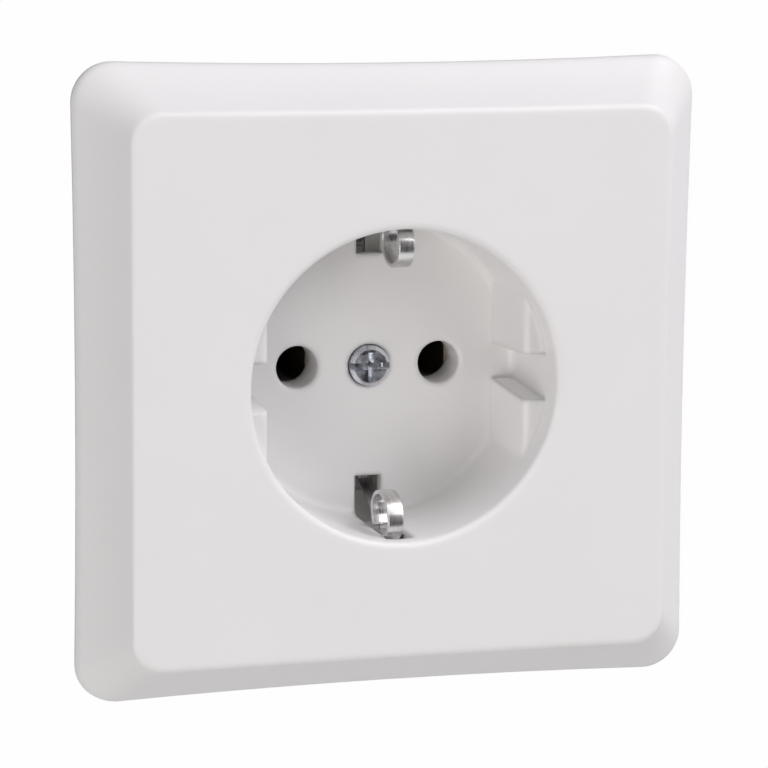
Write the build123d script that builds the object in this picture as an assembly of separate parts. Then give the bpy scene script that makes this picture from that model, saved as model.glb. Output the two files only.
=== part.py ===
from build123d import *
import os
from math import atan2, cos, degrees, radians, sin, tan

# Flush earthed wall socket, CEE 7/3 pattern, in millimetres.
# X runs to the right, +Y runs into the wall, +Z is up, and the front faces -Y.
# The origin is on the axis of the plug well, in the plane of the wall.

# Cover: outline, rim and shell
cover_width = 81.0
cover_height = 9.5
cover_corner_radius = 5.0
side_waist = 0.45
top_waist = 0.8
slope_waist_share = 0.6
face_waist_share = 0.2
edge_height = 1.3
edge_draft = 0.15
slope_reach = 5.65
face_corner_radius = 4.0
rim_hollow = 0.45
rim_edge_round = 0.5
face_edge_round = 0.6
shell_wall = 2.0
shell_lip = 2.2
shell_corner = 4.0
cover_rib_thickness = 1.2
cover_rib_gap = 0.4
cover_rib_angles = (30, 60, 120, 150, 210, 240, 300, 330)

# Plug well
well_radius = 19.8
well_depth = 17.5
well_wall = 1.6
mouth_round = 0.6
floor_bevel = 1.0
bevel_step_share = 0.3
floor_thickness = 2.0
pin_spacing = 19.0
pin_hole_radius = 2.8
pin_hole_chamfer = 0.35
pin_sleeve_wall = 0.9
pin_sleeve_length = 4.4

# Key blocks at the two sides of the well
key_flat_distance = 16.7
key_ledge_drop = 4.1
key_edge_round = 0.8
notch_floor_width = 4.6
notch_ledge_width = 5.9

# Slots and wall channels for the earth clips
slot_width = 3.6
slot_inner_distance = 14.5
channel_reach = 21.0
channel_drop = 2.5
channel_wall = 1.4
channel_cheek = 1.6

# Cover screw
screw_recess_gap = 0.15
screw_recess_depth = 0.8
cover_screw_head_radius = 2.65
cover_screw_head_height = 1.9
cover_screw_radius = 1.45
cover_screw_length = 13.0
screw_slot_width = 0.9
screw_slot_depth = 0.8
cross_width = 0.7
cross_length = 3.6
cross_depth = 1.1
thread_clearance = 0.05
hole_clearance = 0.3
screw_boss_radius = 4.2
head_edge_share = 0.25

# Earth strap: one strip of sheet with two curled clips, two wings and a threaded collar
strap_thickness = 0.5
clip_width = 2.0
clip_offset = 0.55
leg_strip_width = 1.8
leg_strip_offset = -0.7
clip_front_drop = 2.2
clip_contact_distance = 14.3
clip_channel_gap = 0.4
clip_length = 8.3
clip_heel_distance = 16.1
clip_bend_radius = 1.2
clip_heel_round = 1.08
clip_end_gap = 50.0
strap_hub_radius = 4.6
strap_wing_width = 5.0
collar_radius = 2.3
collar_length = 2.5

# Support ring: square sheet frame with two legs that carry the base
ring_margin = 5.0
ring_corner_radius = 6.0
ring_thickness = 1.2
ring_opening_radius = 23.2
box_screw_spacing = 60.0
box_slot_radius = 1.75
box_slot_length = 5.2
leg_width = 8.0
leg_angle = 120.0
leg_foot_land = 3.0
leg_bend_round = 1.0

# Base and its rear cap
base_radius = 22.5
base_depth = 17.0
base_flat_distance = 17.2
base_front_wall = 2.5
base_gap = 2.0
cap_thickness = 2.5
cap_edge = 1.0
carrier_rivet_inset = 2.5
rivet_radius = 1.5
rivet_bore_radius = 0.8
rivet_flange_radius = 2.4
rivet_flange_height = 0.5

# Pin contacts with their steel clips
contact_gap = 4.4
contact_thickness = 0.7
contact_width = 6.0
contact_front_inset = 1.2
contact_depth = 11.0
contact_lip_spread = 0.6
contact_lip_length = 1.6
contact_clip_thickness = 0.5
contact_clip_width = 3.6
contact_clip_inset = 2.4
contact_clip_spread = 0.2
contact_fit = 0.02
pocket_clearance = 0.6
tab_root = 0.8

# Terminals
terminal_x = 12.5
terminal_z = 9.6
terminal_width = 6.4
terminal_depth = 7.0
terminal_front_inset = 1.6
earth_terminal_x = -14.3
earth_terminal_z = 8.6
wire_hole_radius = 1.5
wire_entry_radius = 1.9
wire_wall = 1.0
terminal_screw_radius = 1.25
terminal_head_radius = 2.0
terminal_head_height = 1.2
terminal_slot_width = 0.6
terminal_slot_depth = 0.5

# Spreading claws at the two sides
claw_screw_x = 24.6
claw_pivot_x = 20.5
claw_pivot_inset = 3.1
claw_half_swing = 12.5
claw_cheek_inner = 2.6
claw_cheek_thickness = 1.2
claw_hub_radius = 2.7
claw_arm_radius = 3.5
claw_length = 12.5
claw_toe_reach = 9.4
claw_toe_width = 6.8
claw_toe_corner = 0.8
claw_heel_drop = 1.3
claw_throat_reach = 6.6
claw_tooth_pitch = 2.1
claw_tooth_depth = 1.1
claw_tooth_rake = 0.3
claw_tip_share = 0.65
claw_shank_back = 1.8
claw_web_thickness = 1.1
claw_slot_slip = 0.15
claw_fit = 0.1
claw_pin_radius = 1.0
claw_pin_fit = 0.05
ear_thickness = 2.0
ear_gap = 0.4
ear_step = 0.2
nut_radius = 2.0
nut_half_length = 4.0
claw_screw_radius = 1.45
claw_head_radius = 2.4
claw_head_height = 1.6
claw_head_gap = 0.05
claw_screw_length = 21.0
claw_hole_radius = 1.75

# Widths and levels along Y that follow from the sizes
face_width = cover_width - 2 * (edge_draft + slope_reach)
ring_width = cover_width - 2 * ring_margin
clip_outer_distance = channel_reach - clip_channel_gap
carrier_rivet_distance = base_radius - carrier_rivet_inset
leg_foot_reach = carrier_rivet_distance - leg_foot_land
face_y = -cover_height
floor_y = face_y + well_depth
floor_back_y = floor_y + floor_thickness
ledge_y = face_y + key_ledge_drop
channel_front_y = face_y + channel_drop
well_outer_radius = well_radius + well_wall
pin_sleeve_radius = pin_hole_radius + pin_sleeve_wall
sleeve_back_y = floor_back_y + pin_sleeve_length
shell_y = face_y + shell_wall
base_y = floor_back_y + base_gap
foot_y = base_y - ring_thickness
strap_y = base_y
strap_back_y = strap_y + strap_thickness
base_back_y = base_y + base_depth
cap_back_y = base_back_y + cap_thickness
pocket_y = base_y + base_front_wall
contact_y = pocket_y + contact_front_inset
contact_back_y = contact_y + contact_depth
terminal_y = pocket_y + terminal_front_inset
terminal_back_y = terminal_y + terminal_depth
claw_pivot_y = base_y + claw_pivot_inset
claw_arm = claw_screw_x - claw_pivot_x
nut_y = claw_pivot_y + claw_arm * tan(radians(claw_half_swing))

turned = Rot(0, 180, 0)
sink = 0.5
through = 0.1


def rod(radius, front, back, x=0.0, z=0.0):
    """Round bar along Y between two levels."""
    base = Align.MIN
    bar = Cylinder(radius, back - front, align=(Align.CENTER, Align.CENTER, base))
    return Pos(x, front, z) * Rot(-90, 0, 0) * bar


def plate(sketch, front, back):
    """Flat piece parallel to the wall, cut from a sketch in X and Z."""
    return extrude(Plane.XZ.offset(-front) * sketch, amount=back - front, dir=(0, 1, 0))


def block(x0, x1, y0, y1, z0, z1):
    """Rectangular block between limits on each axis."""
    centre = Pos((x0 + x1) / 2, (y0 + y1) / 2, (z0 + z1) / 2)
    return centre * Box(x1 - x0, y1 - y0, z1 - z0)


def waisted_square(half, waist_x, waist_z, radius):
    """Square outline whose sides are hollow, with round corners."""
    top = ThreePointArc((-half, half), (0, half - waist_z), (half, half))
    right = ThreePointArc((half, half), (half - waist_x, 0), (half, -half))
    bottom = ThreePointArc((half, -half), (0, waist_z - half), (-half, -half))
    left = ThreePointArc((-half, -half), (waist_x - half, 0), (-half, half))
    outline = make_face([top, right, bottom, left])
    return fillet(outline.vertices(), radius)


def at_level(sketch, y):
    """Sketch in X and Z moved to a level along Y."""
    return Plane.XZ.offset(-y) * sketch


def cover_blank():
    """Outer form of the cover: upright edge, hollow sloping rim and flat face."""
    wall_half = cover_width / 2
    edge_half = wall_half - edge_draft
    face_half = face_width / 2
    middle = (cover_height + edge_height) / 2
    middle_half = (edge_half + face_half) / 2 - rim_hollow
    middle_radius = (cover_corner_radius + face_corner_radius) / 2
    foot = waisted_square(wall_half, side_waist, top_waist, cover_corner_radius)
    edge = waisted_square(edge_half, side_waist, top_waist, cover_corner_radius)
    slope = waisted_square(middle_half, side_waist * slope_waist_share,
                           top_waist * slope_waist_share, middle_radius)
    face = waisted_square(face_half, side_waist * face_waist_share,
                          top_waist * face_waist_share, face_corner_radius)
    skirt = loft([at_level(foot, 0), at_level(edge, -edge_height)])
    rim = loft([at_level(edge, -edge_height), at_level(slope, -middle), at_level(face, face_y)])
    blank = skirt + rim
    levels = blank.edges().group_by(Axis.Y)
    blank = fillet(levels[0], face_edge_round)
    shoulder = [edge for edge in blank.edges() if abs(edge.center().Y + edge_height) < 0.01]
    return fillet(shoulder, rim_edge_round)


def cut_square(width):
    """Square outline with cut corners."""
    outline = Rectangle(width, width)
    return chamfer(outline.vertices(), shell_corner)


def cover_hollow():
    """Space behind the face, inside the rim."""
    mouth = cut_square(cover_width - 2 * (shell_lip + top_waist))
    roof = cut_square(face_width - 2 * shell_wall)
    return loft([at_level(mouth, 0), at_level(roof, shell_y)])


def well_space():
    """Space inside the well, with the rounded mouth and the two-step bevel at the floor."""
    bevel = floor_bevel * bevel_step_share
    with BuildSketch() as section:
        with BuildLine():
            start = (0, face_y - through)
            flare = (well_radius + mouth_round, face_y - through)
            Polyline(start, flare, (flare[0], face_y))
            RadiusArc((flare[0], face_y), (well_radius, face_y + mouth_round), mouth_round)
            Polyline((well_radius, face_y + mouth_round), (well_radius, floor_y - floor_bevel),
                     (well_radius - bevel, floor_y - bevel), (well_radius - floor_bevel, floor_y),
                     (0, floor_y), start)
        make_face()
    return revolve(section.sketch, Axis.Y)


def key_block():
    """Key block on the right side of the well, with its ledge and drafted notch."""
    reach = well_outer_radius - 0.5 * well_wall
    blank = block(key_flat_distance, reach, ledge_y, floor_back_y - 0.5 * floor_thickness,
                  -well_radius, well_radius)
    front_edge = blank.edges().filter_by(Axis.Z).sort_by(Axis.X)[:2].sort_by(Axis.Y)[0]
    blank = fillet(front_edge, key_edge_round)
    blank = blank & rod(reach, ledge_y, floor_back_y)
    notch_front = Pos(key_flat_distance, 0) * Rectangle(2 * well_radius, notch_ledge_width)
    notch_back = Pos(key_flat_distance, 0) * Rectangle(2 * well_radius, notch_floor_width)
    notch = loft([at_level(notch_front, ledge_y), at_level(notch_back, floor_y)])
    return blank - (notch & rod(well_radius, ledge_y, floor_y))


def clip_channel():
    """Slot in the floor and channel in the wall for the upper earth clip."""
    half = slot_width / 2
    slot = block(-half, half, floor_y - floor_bevel, floor_back_y + through,
                 slot_inner_distance, channel_reach)
    channel = block(-half, half, channel_front_y, floor_back_y + through,
                    well_radius - 2 * floor_bevel, channel_reach)
    return slot + channel


def channel_box():
    """Thickened wall outside the well that closes the channel."""
    half = slot_width / 2 + channel_cheek
    return block(-half, half, shell_y - sink, floor_back_y,
                 well_radius, channel_reach + channel_wall)


def cover_ribs():
    """Ribs under the face between the well and the rim."""
    ribs = Part()
    half = cover_rib_thickness / 2
    rib = block(well_outer_radius - sink, cover_width, shell_y - sink, -ring_thickness - cover_rib_gap,
                -half, half)
    for angle in cover_rib_angles:
        ribs += Rot(0, angle, 0) * rib
    return ribs & (cover_hollow() + plate(cut_square(face_width), shell_y - sink, shell_y))


def pin_hole(x):
    """Plug pin hole through the floor and its sleeve, with a small chamfer at the front."""
    cone = Cone(pin_hole_radius + pin_hole_chamfer, pin_hole_radius, pin_hole_chamfer,
                align=(Align.CENTER, Align.CENTER, Align.MIN))
    hole = rod(pin_hole_radius, floor_y - through, sleeve_back_y + through, x)
    return hole + Pos(x, floor_y, 0) * Rot(-90, 0, 0) * cone


def cover_plate():
    """One-piece moulded cover with the plug well."""
    cover = cover_blank() - cover_hollow()
    cover += rod(well_outer_radius, shell_y - sink, floor_back_y)
    cover += channel_box()
    cover += turned * channel_box()
    cover -= well_space()
    cover += key_block()
    cover += turned * key_block()
    cover += cover_ribs()
    cover += rod(screw_boss_radius, floor_y + 0.5 * floor_thickness, strap_y)
    cover -= clip_channel()
    cover -= turned * clip_channel()
    for x in (-pin_spacing / 2, pin_spacing / 2):
        cover += rod(pin_sleeve_radius, floor_y + sink, sleeve_back_y, x)
        cover -= pin_hole(x)
    cover -= rod(cover_screw_head_radius + screw_recess_gap, floor_y - through,
                 floor_y + screw_recess_depth)
    cover -= rod(cover_screw_radius + hole_clearance, floor_y, strap_y + through)
    return cover


def slotted_head(radius, height, front, x, z, slot_width_mm, slot_depth_mm):
    """Round screw head with a broken edge and a straight slot across it."""
    head = rod(radius, front, front + height, x, z)
    rim = head.faces().sort_by(Axis.Y)[0].edges()
    head = chamfer(rim, height * head_edge_share)
    half = slot_width_mm / 2
    return head - block(x - radius, x + radius, front - through, front + slot_depth_mm,
                        z - half, z + half)


def cover_screw():
    """Central screw that holds the cover: rounded head, slot and cross recess."""
    seat = floor_y + screw_recess_depth
    top = seat - cover_screw_head_height
    head = slotted_head(cover_screw_head_radius, cover_screw_head_height, top, 0, 0,
                        screw_slot_width, screw_slot_depth)
    half = cross_width / 2
    length = cross_length / 2
    bar = block(-length, length, top - through, top + cross_depth, -half, half)
    head -= bar
    head -= Rot(0, 90, 0) * bar
    return head + rod(cover_screw_radius, seat, seat + cover_screw_length)


def support_leg():
    """Leg bent back from the ring, with a foot that reaches over the base."""
    inner = ring_opening_radius
    outer = inner + ring_thickness
    half = leg_width / 2
    leg = block(inner, outer, -ring_thickness, base_y, -half, half)
    foot = block(leg_foot_reach, outer, foot_y, base_y, -half, half)
    heel = (leg + foot).edges().filter_by(Axis.Z).sort_by(Axis.Y)[-2:].sort_by(Axis.X)[-1]
    bent = fillet(heel, leg_bend_round)
    bent -= rod(rivet_radius + thread_clearance, foot_y - through, base_y + through, carrier_rivet_distance)
    return Rot(0, -leg_angle, 0) * bent


def box_slot():
    """Slot for a wall-box screw on the right side of the ring."""
    return Pos(box_screw_spacing / 2, 0) * SlotOverall(box_slot_length, 2 * box_slot_radius)


def support_ring():
    """Sheet steel frame that is screwed or clawed to the wall box."""
    sheet = RectangleRounded(ring_width, ring_width, ring_corner_radius)
    sheet -= Circle(ring_opening_radius)
    for turn in range(4):
        sheet -= Rot(0, 0, 90 * turn) * box_slot()
    for side in (-1, 1):
        sheet -= Pos(side * claw_screw_x, 0) * Circle(claw_hole_radius)
    ring = plate(sheet, -ring_thickness, 0)
    return ring + support_leg() + turned * support_leg()


def strap_outline():
    """Flat part of the earth strap: hub, two wings, and the branch to the earth terminal."""
    rivet_x = carrier_rivet_distance * cos(radians(leg_angle))
    rivet_z = carrier_rivet_distance * sin(radians(leg_angle))
    hub = Circle(strap_hub_radius)
    wing = Rot(0, 0, leg_angle) * Pos(carrier_rivet_distance / 2, 0)
    wing *= SlotCenterToCenter(carrier_rivet_distance, strap_wing_width)
    span = Vector(earth_terminal_x - rivet_x, earth_terminal_z - rivet_z)
    middle = Pos((earth_terminal_x + rivet_x) / 2, (earth_terminal_z + rivet_z) / 2)
    angle = degrees(atan2(span.Y, span.X))
    branch = middle * Rot(0, 0, angle) * SlotCenterToCenter(span.length, strap_wing_width)
    arm = Pos(leg_strip_offset, clip_heel_distance / 2 - clip_bend_radius / 2)
    arm *= Rectangle(leg_strip_width, clip_heel_distance - clip_bend_radius)
    return hub + wing + Rot(0, 0, 180) * wing + branch + arm + Rot(0, 0, 180) * arm


def clip_lines():
    """Middle lines of the upper clip in Y and Z: its leg, and its run forward with the curl."""
    half = strap_thickness / 2
    flat = strap_y + half
    centre_y = face_y + clip_front_drop + clip_length / 2
    centre_z = (clip_outer_distance + clip_contact_distance) / 2
    long_radius = clip_length / 2 - half
    high_radius = (clip_outer_distance - clip_contact_distance) / 2 - half
    knee = (centre_y + long_radius, centre_z + high_radius)
    crown = (centre_y, centre_z + high_radius)
    points = [(flat, clip_heel_distance - clip_bend_radius), (flat, clip_heel_distance), knee, crown]
    leg = FilletPolyline(*[(0, y, z) for y, z in points], radius=clip_heel_round)
    run = Line((0, *knee), (0, *crown))
    curl = Plane.YZ * EllipticalCenterArc((centre_y, centre_z), long_radius, high_radius,
                                          90, arc_size=360 - clip_end_gap)
    return Wire(leg.edges()), Wire([run.edge(), curl.edge()]), knee, crown


def strip_along(path, width, offset_x):
    """Strip of the strap's sheet swept along a middle line."""
    section = Plane(origin=path.position_at(0), x_dir=(1, 0, 0), z_dir=path.tangent_at(0))
    return Pos(offset_x, 0, 0) * sweep(section * Rectangle(width, strap_thickness), path=path)


def clip_arm():
    """Upper earth clip: its leg rises through the floor, steps sideways and curls inward."""
    leg_line, curl_line, knee, crown = clip_lines()
    leg = strip_along(leg_line, leg_strip_width, leg_strip_offset)
    curl = strip_along(curl_line, clip_width, clip_offset)
    half = strap_thickness / 2
    step = block(leg_strip_offset - leg_strip_width / 2, clip_offset + clip_width / 2,
                 crown[0], knee[0] - clip_heel_round / 2, crown[1] - half, crown[1] + half)
    return leg + step + curl


def earth_strap():
    """One-piece earth strap with its two clips and the threaded collar."""
    strap = plate(strap_outline(), strap_y, strap_back_y)
    strap += rod(collar_radius, strap_back_y - through, strap_back_y + collar_length)
    strap -= rod(cover_screw_radius + thread_clearance, strap_y - through,
                 strap_back_y + collar_length + through)
    for turn in (0, 180):
        strap -= Rot(0, turn - leg_angle, 0) * rod(rivet_radius + thread_clearance, strap_y - through,
                                                   strap_back_y + through, carrier_rivet_distance)
    strap -= rod(terminal_screw_radius + thread_clearance, strap_y - through, strap_back_y + through,
                 earth_terminal_x, earth_terminal_z)
    return strap + clip_arm() + turned * clip_arm()


def base_outline():
    """Round base outline with flats for the claws."""
    return Circle(base_radius) & Rectangle(2 * base_flat_distance, 2 * base_radius)


def claw_ears():
    """Pair of ears on the right side of the base that carry the claw pin."""
    inner = claw_cheek_inner + claw_cheek_thickness + ear_gap
    radius = claw_hub_radius - ear_step
    ears = Part()
    for low in (inner, -inner - ear_thickness):
        ear = block(base_flat_distance - sink, claw_pivot_x, claw_pivot_y - radius,
                    claw_pivot_y + radius, low, low + ear_thickness)
        end = Cylinder(radius, ear_thickness, align=(Align.CENTER, Align.CENTER, Align.MIN))
        ears += ear + Pos(claw_pivot_x, claw_pivot_y, low) * end
    hole = Cylinder(claw_pin_radius + contact_fit, 4 * inner)
    return ears - Pos(claw_pivot_x, claw_pivot_y, 0) * hole


def contact_pocket():
    """Pocket behind the right pin hole, for the contact and its terminal."""
    centre = pin_spacing / 2
    half = contact_gap / 2 + contact_thickness + contact_clip_thickness + pocket_clearance
    width = contact_width / 2 + pocket_clearance
    room = terminal_width / 2 + contact_fit
    pocket = block(centre - half, centre + half, pocket_y, base_back_y + through, -width, width)
    pocket += block(terminal_x - room, terminal_x + room, terminal_y, base_back_y + through,
                    contact_width / 2 - tab_root - hole_clearance, terminal_z + room)
    pocket += rod(pin_sleeve_radius + hole_clearance, base_y - through, pocket_y + through, centre)
    pocket += rod(terminal_head_radius + hole_clearance, base_y - through,
                  terminal_y + through, terminal_x, terminal_z)
    wire = Cylinder(wire_entry_radius, base_radius, align=(Align.CENTER, Align.CENTER, Align.MIN))
    pocket += Pos(terminal_x, wire_axis_y(), terminal_z) * wire
    return pocket


def wire_axis_y():
    """Level of the wire holes in the terminals."""
    return terminal_back_y - wire_hole_radius - wire_wall


def earth_pocket():
    """Pocket behind the strap's branch for the earth terminal and its wire."""
    room = terminal_width / 2 + contact_fit
    pocket = block(earth_terminal_x - room, earth_terminal_x + room, strap_back_y,
                   strap_back_y + terminal_depth + pocket_clearance,
                   earth_terminal_z - room, earth_terminal_z + room)
    wire = Cylinder(wire_entry_radius, base_radius, align=(Align.CENTER, Align.CENTER, Align.MIN))
    wire_y = strap_back_y + terminal_depth - wire_hole_radius - wire_wall
    return pocket + Pos(earth_terminal_x, wire_y, earth_terminal_z) * wire


def rivet_holes(front, back):
    """Two holes through the base for the carrier rivets."""
    hole = rod(rivet_radius + thread_clearance, front, back, carrier_rivet_distance)
    return Rot(0, -leg_angle, 0) * hole + Rot(0, 180 - leg_angle, 0) * hole


def base_body():
    """Insulating base that houses the contacts and carries the claws."""
    base = plate(base_outline(), base_y, base_back_y)
    base += claw_ears()
    base += turned * claw_ears()
    recess = offset(strap_outline(), amount=hole_clearance)
    heel = Pos(leg_strip_offset, clip_heel_distance)
    heel *= Rectangle(leg_strip_width + 2 * hole_clearance, 2 * clip_bend_radius)
    recess += heel + Rot(0, 0, 180) * heel
    base -= plate(recess, base_y - through, strap_back_y)
    base -= rod(collar_radius + hole_clearance, base_y, strap_back_y + cover_screw_length)
    base -= contact_pocket()
    base -= turned * contact_pocket()
    base -= earth_pocket()
    return base - rivet_holes(base_y - through, base_back_y + through)


def base_back():
    """Rear cap that closes the contact pockets."""
    cap = plate(base_outline(), base_back_y, cap_back_y)
    cap = chamfer(cap.faces().sort_by(Axis.Y)[-1].edges(), cap_edge)
    return cap - rivet_holes(base_back_y - through, cap_back_y + through)


def carrier_rivet():
    """Tubular rivet through the foot, the strap's wing, the base and the cap."""
    shank = rod(rivet_radius, foot_y, cap_back_y)
    front = rod(rivet_flange_radius, foot_y - rivet_flange_height, foot_y)
    back = rod(rivet_flange_radius, cap_back_y, cap_back_y + rivet_flange_height)
    rivet = shank + front + back
    return rivet - rod(rivet_bore_radius, foot_y - 2 * rivet_flange_height,
                       cap_back_y + 2 * rivet_flange_height)


def spring_fork(gap, thickness, front, back, width, lip):
    """Fork of two leaves joined by a round back, open to the front."""
    middle = (gap + thickness) / 2
    turn = back - thickness / 2 - middle
    tip = (middle + lip, front)
    waist = (middle, front + contact_lip_length)
    with BuildSketch() as profile:
        with BuildLine() as line:
            Polyline(tip, waist, (middle, turn))
            RadiusArc((middle, turn), (-middle, turn), -middle)
            Polyline((-middle, turn), (-waist[0], waist[1]), (-tip[0], tip[1]))
            offset(amount=thickness / 2, side=Side.BOTH)
        make_face()
    fork = extrude(profile.sketch, amount=width / 2, both=True)
    return Pos(pin_spacing / 2, 0, 0) * fork


def contact():
    """Right pin contact: sprung fork and the tab to its terminal."""
    fork = spring_fork(contact_gap, contact_thickness, contact_y, contact_back_y,
                       contact_width, contact_lip_spread)
    leaf = pin_spacing / 2 + contact_gap / 2
    tab = block(leaf, terminal_x + terminal_width / 2, terminal_back_y,
                terminal_back_y + contact_thickness, contact_width / 2 - tab_root,
                terminal_z + terminal_width / 2)
    return fork + tab


def contact_clip():
    """Steel clip that presses the leaves of the right contact together."""
    gap = contact_gap + 2 * contact_thickness + 2 * contact_fit
    return spring_fork(gap, contact_clip_thickness, contact_y + contact_clip_inset,
                       contact_back_y + contact_clip_thickness + contact_fit,
                       contact_clip_width, contact_clip_spread)


def terminal_block(front, x, z):
    """Brass pillar terminal with a wire hole along Z and a tapped hole at the front."""
    half = terminal_width / 2
    pillar = block(x - half, x + half, front, front + terminal_depth, z - half, z + half)
    wire_y = front + terminal_depth - wire_hole_radius - wire_wall
    pillar -= Pos(x, wire_y, z) * Cylinder(wire_hole_radius, 2 * terminal_width)
    return pillar - rod(terminal_screw_radius + thread_clearance, front - through, wire_y, x, z)


def terminal_screw(seat, tip, x, z):
    """Slotted clamping screw of a terminal."""
    head = slotted_head(terminal_head_radius, terminal_head_height, seat - terminal_head_height,
                        x, z, terminal_slot_width, terminal_slot_depth)
    return head + rod(terminal_screw_radius, seat, tip, x, z)


def sheet(sketch, low, high):
    """Flat piece in X and Y between two heights."""
    return extrude(Pos(0, 0, low) * sketch, amount=high - low, dir=(0, 0, 1))


def claw_heel():
    """Back edge of the claw about its pivot, from the heel to the toe."""
    heel_x = claw_toe_reach - claw_toe_width
    corner_y = claw_length - claw_heel_drop + claw_toe_corner
    return [(heel_x, claw_length - claw_heel_drop), (heel_x + claw_toe_corner, corner_y),
            (claw_toe_reach - claw_tooth_depth, claw_length)]


def claw_teeth():
    """Toothed front edge of the toe: tips and roots, from the back forward."""
    points = []
    for tooth in (0, 1):
        tip_x = claw_toe_reach - tooth * claw_tooth_rake
        tip_y = claw_length - (tooth + claw_tip_share) * claw_tooth_pitch
        points.append((tip_x, tip_y))
        points.append((tip_x - claw_tooth_depth, claw_length - (tooth + 1) * claw_tooth_pitch))
    return points


def claw_cheek(low, high):
    """Cheek of the claw about its pivot, with the arm straight out."""
    ends = Circle(claw_hub_radius) + Pos(claw_arm, 0) * Circle(claw_arm_radius)
    cheek = sheet(make_hull(ends.edges()), low, high)
    throat = (claw_throat_reach, claw_length - 2 * claw_tooth_pitch)
    outline = [(-claw_shank_back, claw_shank_back), *claw_heel(), *claw_teeth(), throat,
               (claw_arm, claw_hub_radius), (0, 0)]
    cheek += sheet(Polygon(*outline, align=None), low, high)
    nut_slot = SlotCenterToCenter(2 * claw_slot_slip, 2 * (nut_radius + claw_fit))
    cheek -= sheet(Pos(claw_arm, 0) * nut_slot, low - through, high + through)
    return cheek - sheet(Circle(claw_pin_radius + claw_pin_fit), low - through, high + through)


def claw():
    """Right claw in its rest position: two toothed cheeks joined by a web at the toe."""
    outer = claw_cheek_inner + claw_cheek_thickness
    body = claw_cheek(claw_cheek_inner, outer) + claw_cheek(-outer, -claw_cheek_inner)
    heel, corner, toe = claw_heel()
    front = [(toe[0], toe[1] - claw_web_thickness), (corner[0], corner[1] - claw_web_thickness)]
    web = Polygon(heel, corner, toe, *front, align=None)
    body += sheet(web, -claw_cheek_inner - through, claw_cheek_inner + through)
    return Pos(claw_pivot_x, claw_pivot_y, 0) * Rot(0, 0, claw_half_swing) * body


def claw_pin():
    """Pin that the right claw turns on, held in the ears of the base."""
    outer = claw_cheek_inner + claw_cheek_thickness + ear_gap + ear_thickness
    return Pos(claw_pivot_x, claw_pivot_y, 0) * Cylinder(claw_pin_radius, 2 * outer)


def claw_nut():
    """Barrel nut that draws the right claw's arm forward along the screw."""
    nut = Pos(claw_screw_x, nut_y, 0) * Cylinder(nut_radius, 2 * nut_half_length)
    reach = 2 * nut_radius
    return nut - rod(claw_screw_radius + thread_clearance, nut_y - reach, nut_y + reach,
                     claw_screw_x)


def claw_screw():
    """Right claw screw with its slotted head on the front of the ring."""
    seat = -ring_thickness - claw_head_gap
    head = slotted_head(claw_head_radius, claw_head_height, seat - claw_head_height,
                        claw_screw_x, 0, screw_slot_width, screw_slot_depth)
    return head + rod(claw_screw_radius, seat, seat + claw_screw_length, claw_screw_x)


def all_parts():
    """Every piece of the socket under the name of its file."""
    wire_y = wire_axis_y()
    terminal = terminal_block(terminal_y, terminal_x, terminal_z)
    clamp = terminal_screw(terminal_y, wire_y, terminal_x, terminal_z)
    earth_wire_y = strap_back_y + terminal_depth - wire_hole_radius - wire_wall
    parts = {
        "cover_plate": cover_plate(),
        "cover_screw": cover_screw(),
        "support_ring": support_ring(),
        "earth_strap": earth_strap(),
        "base_body": base_body(),
        "base_back": base_back(),
        "terminal_earth": terminal_block(strap_back_y, earth_terminal_x, earth_terminal_z),
        "terminal_screw_earth": terminal_screw(strap_y, earth_wire_y, earth_terminal_x,
                                               earth_terminal_z),
    }
    paired = {
        "contact": contact(),
        "contact_clip": contact_clip(),
        "terminal": terminal,
        "terminal_screw": clamp,
        "claw": claw(),
        "claw_pin": claw_pin(),
        "claw_nut": claw_nut(),
        "claw_screw": claw_screw(),
    }
    for name, solid in paired.items():
        parts[name + "_right"] = solid
        parts[name + "_left"] = turned * solid
    rivet = Pos(carrier_rivet_distance, 0, 0) * carrier_rivet()
    parts["carrier_rivet_top"] = Rot(0, -leg_angle, 0) * rivet
    parts["carrier_rivet_bottom"] = Rot(0, 180 - leg_angle, 0) * rivet
    return parts


os.makedirs("parts", exist_ok=True)
for name, solid in all_parts().items():
    export_step(solid, "parts/" + name + ".step")
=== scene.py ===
import logging
import math
from dataclasses import dataclass, replace
from enum import Enum, IntEnum

import bpy
from mathutils import Matrix, Vector


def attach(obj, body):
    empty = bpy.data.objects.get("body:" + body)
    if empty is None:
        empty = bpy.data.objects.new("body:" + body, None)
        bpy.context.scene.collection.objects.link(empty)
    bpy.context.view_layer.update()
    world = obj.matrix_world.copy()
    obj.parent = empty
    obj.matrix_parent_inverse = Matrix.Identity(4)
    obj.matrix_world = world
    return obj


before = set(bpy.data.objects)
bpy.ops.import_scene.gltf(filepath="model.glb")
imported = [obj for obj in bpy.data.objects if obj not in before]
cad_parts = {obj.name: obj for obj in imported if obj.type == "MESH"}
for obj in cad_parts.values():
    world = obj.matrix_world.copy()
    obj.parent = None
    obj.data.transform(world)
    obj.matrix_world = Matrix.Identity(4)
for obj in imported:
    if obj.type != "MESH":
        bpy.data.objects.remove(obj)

log = logging.getLogger("wall_socket")

Colour = tuple[float, float, float]
Scale = tuple[float, float, float]


class Node(Enum):
    """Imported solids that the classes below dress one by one."""

    COVER = "cover_plate"
    COVER_SCREW = "cover_screw"
    RING = "support_ring"
    STRAP = "earth_strap"
    BASE = "base_body"
    CAP = "base_back"


class Side(Enum):
    """The two sides of the socket that carry the same pieces."""

    LEFT = "left"
    RIGHT = "right"


class End(Enum):
    """The two ends of the earth strip, with the side of Z on which each lies."""

    UPPER = 1
    LOWER = -1


class MixSocket(IntEnum):
    """Places of the colour sockets on Blender's mix node."""

    FACTOR = 0
    RESULT = 2
    FIRST = 6
    SECOND = 7


MM = 0.001
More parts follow.
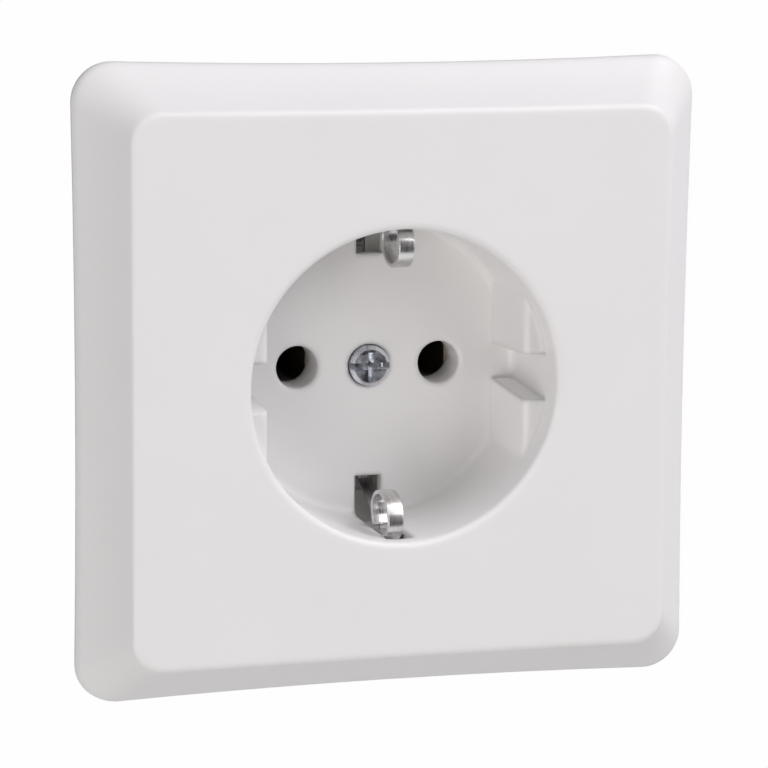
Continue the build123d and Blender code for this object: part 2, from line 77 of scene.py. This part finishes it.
# A wave texture of scale s repeats its bands every tau / (20 s).
WAVE_STEPS = 20.0
# A noise texture rarely leaves this range.
CLOUD_LOW = 0.3
CLOUD_HIGH = 0.7


class Shader:
    """Node tree of one material, with short calls that add and join nodes."""

    def __init__(self, name: str) -> None:
        """Makes an empty material.

        Args:
            name: Name of the material.
        """
        self.material = bpy.data.materials.new(name)
        self.material.use_nodes = True
        self.tree = self.material.node_tree
        self.surface = self.tree.nodes["Principled BSDF"]
        self.place = self.add("ShaderNodeTexCoord").outputs["Object"]

    def add(self, kind: str, **values: float) -> bpy.types.Node:
        """Adds a node.

        Args:
            kind: Blender's name of the node type.
            values: Settings of the node's sockets, by name with underscores for spaces.

        Returns:
            The new node.
        """
        node = self.tree.nodes.new(kind)
        for name, value in values.items():
            node.inputs[name.replace("_", " ")].default_value = value
        return node

    def join(self, source: bpy.types.NodeSocket, target: bpy.types.NodeSocket) -> None:
        """Links two sockets."""
        self.tree.links.new(source, target)

    def stretched(self, scale: Scale) -> bpy.types.NodeSocket:
        """Object coordinates scaled along each axis.

        Args:
            scale: Factor on X, Y and Z.

        Returns:
            The scaled coordinates.
        """
        mapping = self.add("ShaderNodeMapping")
        mapping.inputs["Scale"].default_value = scale
        self.join(self.place, mapping.inputs["Vector"])
        return mapping.outputs["Vector"]

    def noise(self, scale: float, detail: float = 2.0,
              where: bpy.types.NodeSocket | None = None) -> bpy.types.NodeSocket:
        """Cloudy pattern in the object's own space.

        Args:
            scale: Number of clouds per metre.
            detail: Number of finer layers.
            where: Coordinates to use in place of the object's.

        Returns:
            The pattern, from 0 to 1.
        """
        node = self.add("ShaderNodeTexNoise", Scale=scale, Detail=detail)
        self.join(where or self.place, node.inputs["Vector"])
        return node.outputs["Fac"]

    def spread(self, pattern: bpy.types.NodeSocket, low: float, high: float) -> bpy.types.NodeSocket:
        """Maps the middle of a cloudy pattern onto a range.

        Args:
            pattern: The pattern, mostly from CLOUD_LOW to CLOUD_HIGH.
            low: Value where the pattern is low.
            high: Value where the pattern is high.

        Returns:
            The mapped value.
        """
        node = self.add("ShaderNodeMapRange", From_Min=CLOUD_LOW, From_Max=CLOUD_HIGH,
                        To_Min=low, To_Max=high)
        self.join(pattern, node.inputs["Value"])
        return node.outputs["Result"]

    def blend(self, pattern: bpy.types.NodeSocket, first: Colour, second: Colour) -> None:
        """Colours the surface between two colours.

        Args:
            pattern: Where the second colour shows.
            first: Colour at 0.
            second: Colour at 1.
        """
        mix = self.add("ShaderNodeMix")
        mix.data_type = "RGBA"
        mix.inputs[MixSocket.FIRST].default_value = (*first, 1.0)
        mix.inputs[MixSocket.SECOND].default_value = (*second, 1.0)
        self.join(pattern, mix.inputs[MixSocket.FACTOR])
        self.join(mix.outputs[MixSocket.RESULT], self.surface.inputs["Base Color"])

    def turns(self, pitch: float) -> bpy.types.NodeSocket:
        """Crests and grooves of a thread along Y.

        Args:
            pitch: Distance from crest to crest in metres.

        Returns:
            The pattern, from 0 in the grooves to 1 on the crests.
        """
        node = self.add("ShaderNodeTexWave", Scale=math.tau / (WAVE_STEPS * pitch))
        node.bands_direction = "Y"
        self.join(self.place, node.inputs["Vector"])
        return node.outputs["Fac"]

    def bump(self, height: bpy.types.NodeSocket, depth: float, strength: float) -> None:
        """Adds relief to the surface.

        Args:
            height: Pattern of the relief.
            depth: Height of the relief in metres.
            strength: Share of the relief that shows.
        """
        node = self.add("ShaderNodeBump", Distance=depth, Strength=strength)
        normal = self.surface.inputs["Normal"]
        if normal.is_linked:
            self.join(normal.links[0].from_socket, node.inputs["Normal"])
        self.join(height, node.inputs["Height"])
        self.join(node.outputs["Normal"], normal)


@dataclass(frozen=True)
class MouldedPlastic:
    """Moulded plastic with a faint cloud in its colour and a fine skin."""

    name: str
    colour: Colour
    deep_colour: Colour
    gloss_low: float
    gloss_high: float
    skin_scale: float
    skin_depth: float
    skin_share: float = 0.6
    edge_softness: float = 0.0
    edge_samples: int = 8
    refraction: float = 1.5
    cloud_scale: float = 60.0
    wear_scale: float = 900.0

    def material(self) -> bpy.types.Material:
        """Makes the material.

        Returns:
            The plastic with its colour clouds, gloss and skin, and soft edges if it has a softness.
        """
        shader = Shader(self.name)
        shader.surface.inputs["IOR"].default_value = self.refraction
        clouds = shader.noise(self.cloud_scale, detail=3.0)
        shader.blend(shader.spread(clouds, 0.0, 1.0), self.colour, self.deep_colour)
        wear = shader.noise(self.wear_scale, detail=4.0)
        gloss = shader.spread(wear, self.gloss_low, self.gloss_high)
        shader.join(gloss, shader.surface.inputs["Roughness"])
        if self.edge_softness:
            rounding = shader.add("ShaderNodeBevel", Radius=self.edge_softness)
            rounding.samples = self.edge_samples
            shader.join(rounding.outputs["Normal"], shader.surface.inputs["Normal"])
        shader.bump(shader.noise(self.skin_scale), self.skin_depth, self.skin_share)
        return shader.material


@dataclass(frozen=True)
class PlatedMetal:
    """Plated metal with drawing marks along one axis and a cloud in its tint."""

    name: str
    colour: Colour
    tint: Colour
    gloss_low: float
    gloss_high: float
    mark_scale: Scale
    mark_depth: float
    mark_share: float = 0.5
    cloud_scale: float = 300.0
    thread_pitch: float = 0.0
    thread_depth: float = 0.00018

    def material(self) -> bpy.types.Material:
        """Makes the material.

        Returns:
            The metal with its tint, gloss and drawing marks, and its thread if it has one.
        """
        shader = Shader(self.name)
        shader.surface.inputs["Metallic"].default_value = 1.0
        clouds = shader.noise(self.cloud_scale, detail=3.0)
        shader.blend(shader.spread(clouds, 0.0, 1.0), self.colour, self.tint)
        marks = shader.noise(scale=1.0, detail=3.0, where=shader.stretched(self.mark_scale))
        gloss = shader.spread(marks, self.gloss_low, self.gloss_high)
        shader.join(gloss, shader.surface.inputs["Roughness"])
        shader.bump(marks, self.mark_depth, self.mark_share)
        if self.thread_pitch:
            shader.bump(shader.turns(self.thread_pitch), self.thread_depth, strength=1.0)
        return shader.material


@dataclass(frozen=True)
class GalvanisedSheet:
    """Zinc-coated sheet with its flat crystal spangles."""

    name: str
    light: Colour
    dark: Colour
    spangle_scale: float
    gloss_low: float = 0.34
    gloss_high: float = 0.5
    grain_scale: float = 2500.0
    grain_depth: float = 0.00002
    grain_share: float = 0.4

    def material(self) -> bpy.types.Material:
        """Makes the material.

        Returns:
            The sheet with spangles in its tint and gloss.
        """
        shader = Shader(self.name)
        shader.surface.inputs["Metallic"].default_value = 1.0
        cells = shader.add("ShaderNodeTexVoronoi", Scale=self.spangle_scale)
        shader.join(shader.place, cells.inputs["Vector"])
        grey = shader.add("ShaderNodeSeparateColor")
        shader.join(cells.outputs["Color"], grey.inputs["Color"])
        shader.blend(grey.outputs["Red"], self.dark, self.light)
        gloss = shader.spread(grey.outputs["Green"], self.gloss_low, self.gloss_high)
        shader.join(gloss, shader.surface.inputs["Roughness"])
        grain = shader.noise(self.grain_scale, detail=3.0)
        shader.bump(grain, self.grain_depth, self.grain_share)
        return shader.material


WHITE_COVER = MouldedPlastic(
    name="white_cover",
    colour=(0.862, 0.853, 0.845), deep_colour=(0.85, 0.84, 0.83),
    gloss_low=0.38, gloss_high=0.46,
    skin_scale=2600.0, skin_depth=0.000006, edge_softness=0.0012)
GREY_MOULDING = MouldedPlastic(
    name="grey_moulding",
    colour=(0.60, 0.59, 0.56), deep_colour=(0.54, 0.53, 0.50),
    gloss_low=0.5, gloss_high=0.68,
    skin_scale=3200.0, skin_depth=0.00003)
NICKEL_STRIP = PlatedMetal(
    name="nickel_strip",
    colour=(0.74, 0.73, 0.73), tint=(0.58, 0.57, 0.57),
    gloss_low=0.24, gloss_high=0.36,
    mark_scale=(5000.0, 260.0, 260.0), mark_depth=0.0000012)
BRIGHT_ZINC = PlatedMetal(
    name="bright_zinc",
    colour=(0.62, 0.66, 0.72), tint=(0.56, 0.60, 0.66),
    gloss_low=0.2, gloss_high=0.36,
    mark_scale=(1500.0, 1500.0, 1500.0), mark_depth=0.000002)
THREADED_ZINC = replace(BRIGHT_ZINC, name="threaded_zinc", mark_depth=0.000001, thread_pitch=0.0005)
CLAW_ZINC = PlatedMetal(
    name="claw_zinc",
    colour=(0.68, 0.69, 0.71), tint=(0.60, 0.61, 0.63),
    gloss_low=0.28, gloss_high=0.42,
    mark_scale=(700.0, 700.0, 2400.0), mark_depth=0.000002)
SPRING_STEEL = PlatedMetal(
    name="spring_steel",
    colour=(0.30, 0.31, 0.33), tint=(0.24, 0.24, 0.26),
    gloss_low=0.3, gloss_high=0.45,
    mark_scale=(300.0, 300.0, 5000.0), mark_depth=0.000006)
# Contact metal darkened far below bronze's own colour: painted shade that makes the pin holes look dark
# inside.
SHADE_DARK_BRONZE = PlatedMetal(
    name="contact_bronze_painted_shade",
    colour=(0.30, 0.24, 0.17), tint=(0.22, 0.18, 0.13),
    gloss_low=0.3, gloss_high=0.5,
    mark_scale=(300.0, 300.0, 4000.0), mark_depth=0.000006)
COVER_SCREW_ZINC = PlatedMetal(
    name="cover_screw_zinc",
    colour=(0.84, 0.86, 0.91), tint=(0.50, 0.52, 0.57),
    gloss_low=0.16, gloss_high=0.42,
    mark_scale=(900.0, 900.0, 900.0), mark_depth=0.00002)
DRAWN_BRASS = PlatedMetal(
    name="drawn_brass",
    colour=(0.83, 0.62, 0.30), tint=(0.72, 0.52, 0.24),
    gloss_low=0.2, gloss_high=0.38,
    mark_scale=(300.0, 4000.0, 300.0), mark_depth=0.000006)
ZINC_SHEET = GalvanisedSheet(
    name="zinc_sheet",
    light=(0.70, 0.71, 0.73), dark=(0.61, 0.62, 0.64),
    spangle_scale=420.0)


def meshed(name: str, points: list[tuple[float, float, float]],
           faces: list[tuple[int, ...]]) -> bpy.types.Object:
    """Makes a mesh object and puts it in the scene.

    Args:
        name: Name of the object and of its mesh.
        points: Its points in metres.
        faces: Its faces, as places in the list of points.

    Returns:
        The new object.
    """
    mesh = bpy.data.meshes.new(name)
    mesh.from_pydata(points, [], faces)
    made = bpy.data.objects.new(name, mesh)
    bpy.context.collection.objects.link(made)
    return made


def piece(name: str, points: list[Vector], faces: list[tuple[int, ...]],
          material: bpy.types.Material) -> None:
    """Makes a smooth mesh that stays with the fixed body of the socket.

    Args:
        name: Name of the piece.
        points: Its points in metres.
        faces: Its faces, as places in the list of points.
        material: Its finish.
    """
    made = meshed(name, [tuple(point) for point in points], faces)
    made.data.materials.append(material)
    for polygon in made.data.polygons:
        polygon.use_smooth = True
    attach(made, "socket")
    log.info("%s has %d faces", name, len(faces))


def dress(node: str, material: bpy.types.Material) -> None:
    """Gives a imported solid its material, with the mesh left as it is.

    Args:
        node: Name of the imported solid.
        material: Finish that it gets.
    """
    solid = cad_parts[node]
    for slot in solid.material_slots:
        slot.link = "OBJECT"
        slot.material = material
    log.info("%s dressed in %s", node, material.name)


@dataclass
class Cover:
    """White cover moulding and the screw that holds it."""

    plastic: MouldedPlastic = WHITE_COVER
    screw_metal: PlatedMetal = COVER_SCREW_ZINC

    def build(self) -> None:
        """Dresses the cover and its screw."""
        dress(Node.COVER.value, self.plastic.material())
        dress(Node.COVER_SCREW.value, self.screw_metal.material())


@dataclass
class EarthClips:
    """Curled ends of the earth strip, with rounded edges, over the plainer packed ones.

    Lengths are in millimetres, in the frame of the upper clip.
    """

    strip: PlatedMetal = NICKEL_STRIP
    curl_width: float = 2.0
    curl_x: float = 0.55
    leg_width: float = 1.8
    leg_x: float = -0.7
    thickness: float = 0.5
    skin: float = 0.02
    edge_round: float = 0.12
    strap_y: float = 12.25
    heel_z: float = 16.1
    heel_round: float = 1.08
    step_back_y: float = 0.2
    curl_y: float = -3.15
    curl_z: float = 17.45
    long_radius: float = 3.9
    high_radius: float = 2.9
    curl_degrees: float = 310.0
    curl_steps: int = 72
    bend_steps: int = 8
    corner_steps: int = 3

    def leg_line(self) -> list[Vector]:
        """Middle line of the leg from below the floor to the sideways step.

        Returns:
            Its points as (0, Y, Z) in millimetres.
        """
        top_z = self.curl_z + self.high_radius
        heel = Vector((0.0, self.strap_y, self.heel_z))
        knee = Vector((0.0, self.curl_y + self.long_radius, top_z))
        start = Vector((0.0, self.strap_y, self.heel_z - self.heel_round))
        end = Vector((0.0, self.curl_y, top_z))
        return [start, *self.bend(start, heel, knee), *self.bend(heel, knee, end), end]

    def bend(self, before: Vector, corner: Vector, after: Vector) -> list[Vector]:
        """Round bend at a corner of the middle line.

        Args:
            before: Point before the corner.
            corner: The corner itself.
            after: Point after the corner.

        Returns:
            Points along the bend.
        """
        back = (before - corner).normalized()
        ahead = (after - corner).normalized()
        half = back.angle(ahead) / 2
        centre = corner + (back + ahead).normalized() * (self.heel_round / math.sin(half))
        reach = self.heel_round / math.tan(half)
        first = corner + back * reach - centre
        last = corner + ahead * reach - centre
        axis, angle = first.rotation_difference(last).to_axis_angle()
        return [centre + Matrix.Rotation(angle * step / self.bend_steps, 3, axis) @ first
                for step in range(self.bend_steps + 1)]

    def curl_line(self) -> list[Vector]:
        """Middle line of the run forward and the curl.

        Returns:
            Its points as (0, Y, Z) in millimetres.
        """
        points = [Vector((0.0, self.step_back_y, self.curl_z + self.high_radius))]
        for step in range(self.curl_steps + 1):
            angle = math.radians(90.0 + self.curl_degrees * step / self.curl_steps)
            points.append(Vector((0.0, self.curl_y + self.long_radius * math.cos(angle),
                                  self.curl_z + self.high_radius * math.sin(angle))))
        return points

    def section(self, width: float) -> list[tuple[float, float]]:
        """Rounded outline of the strip across its length.

        Args:
            width: Width of the strip in millimetres.

        Returns:
            Its points, across the width and through the thickness, in millimetres.
        """
        half_x = width / 2 + self.skin - self.edge_round
        half_t = self.thickness / 2 + self.skin - self.edge_round
        points = []
        for quarter, (side_x, side_t) in enumerate(((1, 1), (-1, 1), (-1, -1), (1, -1))):
            for step in range(self.corner_steps + 1):
                angle = math.radians(90.0 * (quarter + step / self.corner_steps))
                points.append((side_x * half_x + self.edge_round * math.cos(angle),
                               side_t * half_t + self.edge_round * math.sin(angle)))
        return points

    def strip_mesh(self, line: list[Vector], width: float, middle_x: float,
                   end: End) -> tuple[list[Vector], list[tuple[int, ...]]]:
        """Points and faces of one length of strip.

        Args:
            line: Middle line of the upper clip's strip.
            width: Width of the strip in millimetres.
            middle_x: Place of its middle across the socket in millimetres.
            end: Clip that it belongs to. The lower clip is the upper one turned by half a turn.

        Returns:
            Points in metres, and faces.
        """
        outline = self.section(width)
        points = []
        for place, middle in enumerate(line):
            ahead = line[min(place + 1, len(line) - 1)] - line[max(place - 1, 0)]
            normal = Vector((0.0, -ahead.z, ahead.y)).normalized()
            for across, through in outline:
                point = middle + normal * through + Vector((middle_x + across, 0.0, 0.0))
                points.append(Vector((end.value * point.x, point.y, end.value * point.z)) * MM)
        count = len(outline)
        faces = []
        for low in range(0, (len(line) - 1) * count, count):
            for step in range(count):
                after = (step + 1) % count
                faces.append((low + step, low + after, low + count + after, low + count + step))
        faces.append(tuple(range(count))[::-1])
        faces.append(tuple(range((len(line) - 1) * count, len(line) * count)))
        return points, faces

    def build(self) -> None:
        """Makes the leg and the curl of the upper and the lower clip."""
        metal = self.strip.material()
        for end in End:
            for name, line, width, middle_x in (("leg", self.leg_line(), self.leg_width, self.leg_x),
                                                ("curl", self.curl_line(), self.curl_width, self.curl_x)):
                points, faces = self.strip_mesh(line, width, middle_x, end)
                piece(f"earth_clip_{name}_{end.name.lower()}", points, faces, metal)


@dataclass
class Insert:
    """Frame, base, contacts and terminals behind the cover."""

    sheet: GalvanisedSheet = ZINC_SHEET
    moulding: MouldedPlastic = GREY_MOULDING
    strip: PlatedMetal = NICKEL_STRIP
    brass: PlatedMetal = DRAWN_BRASS
    # Darkened contact metal: painted shade for the pin holes.
    bronze_painted_dark: PlatedMetal = SHADE_DARK_BRONZE
    clip_steel: PlatedMetal = SPRING_STEEL
    screw_metal: PlatedMetal = BRIGHT_ZINC
    brass_nodes: tuple[str, ...] = ("carrier_rivet_top", "carrier_rivet_bottom", "terminal_left",
                                    "terminal_right", "terminal_earth")
    contact_nodes: tuple[str, ...] = ("contact_left", "contact_right")
    clip_nodes: tuple[str, ...] = ("contact_clip_left", "contact_clip_right")
    screw_nodes: tuple[str, ...] = ("terminal_screw_left", "terminal_screw_right", "terminal_screw_earth")

    def build(self) -> None:
        """Dresses every piece of the insert."""
        groups = (
            (self.sheet, (Node.RING.value,)),
            (self.strip, (Node.STRAP.value,)),
            (self.moulding, (Node.BASE.value, Node.CAP.value)),
            (self.brass, self.brass_nodes),
            (self.bronze_painted_dark, self.contact_nodes),
            (self.clip_steel, self.clip_nodes),
            (self.screw_metal, self.screw_nodes),
        )
        for finish, names in groups:
            material = finish.material()
            for name in names:
                dress(name, material)


@dataclass
class SpreadingClaws:
    """Claws at the two sides, with their pins, nuts and screws."""

    claw_metal: PlatedMetal = CLAW_ZINC
    pin_metal: PlatedMetal = BRIGHT_ZINC
    screw_metal: PlatedMetal = THREADED_ZINC

    def build(self) -> None:
        """Dresses the pieces of both claws."""
        claw = self.claw_metal.material()
        zinc = self.pin_metal.material()
        threaded = self.screw_metal.material()
        for side in Side:
            dress(f"claw_{side.value}", claw)
            dress(f"claw_pin_{side.value}", zinc)
            dress(f"claw_nut_{side.value}", zinc)
            dress(f"claw_screw_{side.value}", threaded)


@dataclass(frozen=True)
class SoftLamp:
    """Square lamp with a wide soft screen."""

    name: str
    azimuth: float
    elevation: float
    power: float
    colour: Colour


@dataclass
class Studio:
    """Plain white room, soft lamps, a dark card and a pale floor round the socket, in metres."""

    world_level: float = 0.24
    world_colour: Colour = (0.97, 0.96, 1.0)
    shown_white: Colour = (0.99, 0.99, 0.99)
    floor_level: float = -1.6
    floor_half: float = 6.0
    floor_paint: Colour = (0.9, 0.9, 0.9)
    floor_roughness: float = 0.8
    lamp_distance: float = 1.4
    lamp_size: float = 0.86
    card_distance: float = 0.9
    card_azimuth: float = 15.5
    card_elevation: float = -8.0
    card_half_width: float = 0.46
    card_half_height: float = 0.66
    card_paint: Colour = (0.03, 0.03, 0.035)
    lamps: tuple[SoftLamp, ...] = (
        SoftLamp("front_right", 35.0, 20.0, 6.6, (0.99, 0.97, 1.0)),
        SoftLamp("left", -70.0, 15.0, 2.5, (0.93, 0.92, 1.0)),
        SoftLamp("front_left_low", -40.0, -18.0, 6.8, (1.0, 0.96, 0.93)),
        SoftLamp("top", 60.0, 55.0, 11.0, (0.98, 0.96, 1.0)),
    )

    @staticmethod
    def direction(azimuth: float, elevation: float) -> Vector:
        """Direction from the socket.

        Args:
            azimuth: Degrees to the right of straight in front.
            elevation: Degrees above the level.

        Returns:
            The direction, of length one.
        """
        turn = math.radians(azimuth)
        rise = math.radians(elevation)
        flat = math.cos(rise)
        return Vector((math.sin(turn) * flat, -math.cos(turn) * flat, math.sin(rise)))

    def world(self) -> None:
        """Lights the room and shows it white to the camera and to reflections."""
        world = bpy.data.worlds.new("studio")
        bpy.context.scene.world = world
        world.use_nodes = True
        tree = world.node_tree
        tree.nodes.clear()
        output = tree.nodes.new("ShaderNodeOutputWorld")
        room = tree.nodes.new("ShaderNodeBackground")
        room.inputs["Color"].default_value = (*self.world_colour, 1.0)
        room.inputs["Strength"].default_value = self.world_level
        seen = tree.nodes.new("ShaderNodeBackground")
        seen.inputs["Color"].default_value = (*self.shown_white, 1.0)
        seen.inputs["Strength"].default_value = 1.0
        tree.links.new(self.seen_rays(tree), self.mixed(tree, room, seen, output).inputs[0])

    def seen_rays(self, tree: bpy.types.NodeTree) -> bpy.types.NodeSocket:
        """Tells the rays that show the room from those that light it.

        Args:
            tree: Node tree that gets the nodes.

        Returns:
            1 on a camera, glossy or transmission ray, else 0.
        """
        path = tree.nodes.new("ShaderNodeLightPath")
        total = path.outputs["Is Camera Ray"]
        for name in ("Is Glossy Ray", "Is Transmission Ray"):
            both = tree.nodes.new("ShaderNodeMath")
            both.operation = "MAXIMUM"
            tree.links.new(total, both.inputs[0])
            tree.links.new(path.outputs[name], both.inputs[1])
            total = both.outputs[0]
        return total

    def mixed(self, tree: bpy.types.NodeTree, lit: bpy.types.Node, seen: bpy.types.Node,
              output: bpy.types.Node) -> bpy.types.Node:
        """Joins what lights the room and what shows of it.

        Args:
            tree: Node tree that gets the node.
            lit: Shader that lights the room.
            seen: Shader that shows to the camera.
            output: Output node of the tree.

        Returns:
            The mix node.
        """
        mix = tree.nodes.new("ShaderNodeMixShader")
        tree.links.new(lit.outputs[0], mix.inputs[1])
        tree.links.new(seen.outputs[0], mix.inputs[2])
        tree.links.new(mix.outputs[0], output.inputs["Surface"])
        return mix

    def board(self, name: str, half_x: float, half_y: float) -> bpy.types.Object:
        """Makes a flat rectangle round the origin.

        Args:
            name: Name of the object and of its mesh.
            half_x: Half of its size along X in metres.
            half_y: Half of its size along Y in metres.

        Returns:
            The new object.
        """
        points = [(-half_x, -half_y, 0), (half_x, -half_y, 0), (half_x, half_y, 0), (-half_x, half_y, 0)]
        return meshed(name, points, [(0, 1, 2, 3)])

    def floor(self) -> None:
        """Lays a plain pale floor well below the socket."""
        ground = self.board("floor", self.floor_half, self.floor_half)
        ground.location.z = self.floor_level
        material = bpy.data.materials.new("floor")
        material.use_nodes = True
        tree = material.node_tree
        paint = tree.nodes["Principled BSDF"]
        paint.inputs["Base Color"].default_value = (*self.floor_paint, 1.0)
        paint.inputs["Roughness"].default_value = self.floor_roughness
        glow = tree.nodes.new("ShaderNodeEmission")
        glow.inputs["Color"].default_value = (*self.shown_white, 1.0)
        mix = self.mixed(tree, paint, glow, tree.nodes["Material Output"])
        tree.links.new(self.seen_rays(tree), mix.inputs[0])
        ground.data.materials.append(material)

    def facing(self, thing: bpy.types.Object, way: Vector, distance: float) -> None:
        """Places an object in front of the socket and turns it to face the socket.

        Args:
            thing: The object.
            way: Direction from the socket.
            distance: Distance from the socket in metres.
        """
        thing.location = way * distance
        thing.rotation_mode = "QUATERNION"
        thing.rotation_quaternion = (-way).to_track_quat("-Z", "Y")

    def lamp(self, lamp: SoftLamp) -> None:
        """Hangs one soft lamp.

        Args:
            lamp: The lamp.
        """
        data = bpy.data.lights.new(lamp.name, "AREA")
        data.shape = "SQUARE"
        data.size = self.lamp_size
        data.energy = lamp.power
        data.color = lamp.colour
        made = bpy.data.objects.new(lamp.name, data)
        bpy.context.collection.objects.link(made)
        self.facing(made, self.direction(lamp.azimuth, lamp.elevation), self.lamp_distance)

    def card(self) -> None:
        """Hangs a dark card that shows only in the gloss of metal and plastic."""
        card = self.board("dark_card", self.card_half_width, self.card_half_height)
        self.facing(card, self.direction(self.card_azimuth, self.card_elevation), self.card_distance)
        material = bpy.data.materials.new("dark_card")
        material.use_nodes = True
        paint = material.node_tree.nodes["Principled BSDF"]
        paint.inputs["Base Color"].default_value = (*self.card_paint, 1.0)
        paint.inputs["Roughness"].default_value = 1.0
        card.data.materials.append(material)
        card.visible_camera = False
        card.visible_diffuse = False
        card.visible_shadow = False
        card.visible_transmission = False

    def build(self) -> None:
        """Sets the room, the floor, the card and the lamps."""
        bpy.context.scene.view_settings.view_transform = "Standard"
        self.world()
        self.floor()
        self.card()
        for lamp in self.lamps:
            self.lamp(lamp)
        log.info("studio with %d lamps", len(self.lamps))


@dataclass
class PhotoCamera:
    """Camera at the photograph's viewing angle, left of and above the socket, in metres."""

    image_width: int = 768
    sensor_mm: float = 36.0
    focal_pixels: float = 3340.0
    yaw_degrees: float = 16.0
    pitch_degrees: float = 9.85
    roll_degrees: float = 0.5
    distance: float = 0.425
    near_clip: float = 0.01
    target: tuple[float, float, float] = (-0.00021, 0.0, -0.00113)

    def axes(self) -> tuple[Vector, Vector, Vector]:
        """Directions of the camera.

        Returns:
            Right, up and forward, each of length one.
        """
        yaw = math.radians(self.yaw_degrees)
        pitch = math.radians(self.pitch_degrees)
        roll = math.radians(self.roll_degrees)
        flat = math.cos(pitch)
        forward = Vector((math.sin(yaw) * flat, math.cos(yaw) * flat, -math.sin(pitch)))
        level = Vector((math.cos(yaw), -math.sin(yaw), 0.0))
        upright = level.cross(forward)
        right = level * math.cos(roll) + upright * math.sin(roll)
        return right, right.cross(forward), forward

    def build(self) -> None:
        """Makes the camera and sets it as the scene's."""
        right, upward, forward = self.axes()
        data = bpy.data.cameras.new("photo_camera")
        data.sensor_width = self.sensor_mm
        data.lens = self.sensor_mm * self.focal_pixels / self.image_width
        data.clip_start = self.near_clip
        camera = bpy.data.objects.new("photo_camera", data)
        bpy.context.collection.objects.link(camera)
        turn = Matrix((right, upward, -forward)).transposed()
        place = Vector(self.target) - forward * self.distance
        camera.matrix_world = Matrix.Translation(place) @ turn.to_4x4()
        bpy.context.scene.camera = camera
        log.info("camera at %s", tuple(round(value, 3) for value in camera.location))


def main() -> None:
    """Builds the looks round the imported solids, then the studio and the camera."""
    logging.basicConfig(level=logging.INFO, format="%(name)s: %(message)s")
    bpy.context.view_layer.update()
    for assembly in (Cover(), EarthClips(), Insert(), SpreadingClaws(), Studio(), PhotoCamera()):
        assembly.build()
        log.info("%s done", type(assembly).__name__)


if __name__ == "__main__":
    main()
